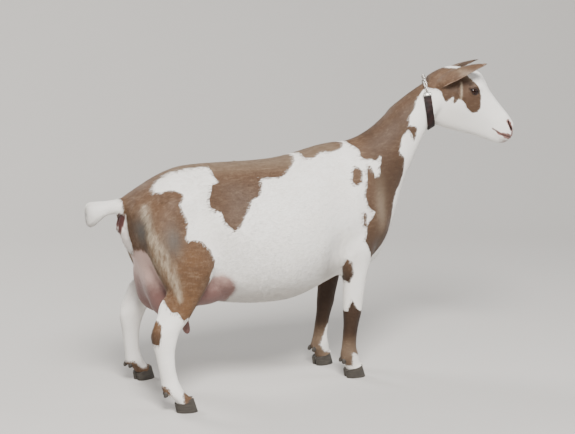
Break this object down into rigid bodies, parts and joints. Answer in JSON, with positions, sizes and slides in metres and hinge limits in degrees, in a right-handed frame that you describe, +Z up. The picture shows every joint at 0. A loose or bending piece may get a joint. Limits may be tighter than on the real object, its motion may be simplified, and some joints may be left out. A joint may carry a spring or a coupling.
{
  "type": "dwarf dairy goat",
  "caption": "Short-coated dwarf dairy doe with a full udder and upright ears, standing square with head raised, as a still life-size model.",
  "frame": {"origin": "middle of the whole animal's box, on the floor that its soles stand on", "axes": "+X from tail to head, +Y to the doe's left, +Z up"},
  "size_m": [1.009, 0.3036, 0.7075],
  "materials": {
    "white_hair": "short sleek white hair with brown and tan patches",
    "tan_hair": "short tan hair",
    "udder_skin": "pink skin with a fine down",
    "hoof_horn": "grey-brown horn",
    "eye": "brown iris with a level slit pupil",
    "collar_leather": "dark flat strap",
    "collar_steel": "bright plated steel"
  },
  "bodies": {
    "root": {"torso": "white_hair", "neck": "white_hair", "head": "white_hair", "tail": "white_hair", "foreleg_left": "white_hair", "foreleg_right": "white_hair", "hindleg_left": "white_hair", "hindleg_right": "white_hair", "ear_left": "tan_hair", "ear_right": "tan_hair", "eye_left": "eye", "eye_right": "eye", "udder": "udder_skin", "hoof_fore_left_inner": "hoof_horn", "hoof_fore_left_outer": "hoof_horn", "hoof_fore_right_inner": "hoof_horn", "hoof_fore_right_outer": "hoof_horn", "hoof_hind_left_inner": "hoof_horn", "hoof_hind_left_outer": "hoof_horn", "hoof_hind_right_inner": "hoof_horn", "hoof_hind_right_outer": "hoof_horn", "collar_strap": "collar_leather", "collar_end_left": "collar_steel", "collar_end_right": "collar_steel", "collar_chain": "collar_steel"}
  },
  "joints": []
}
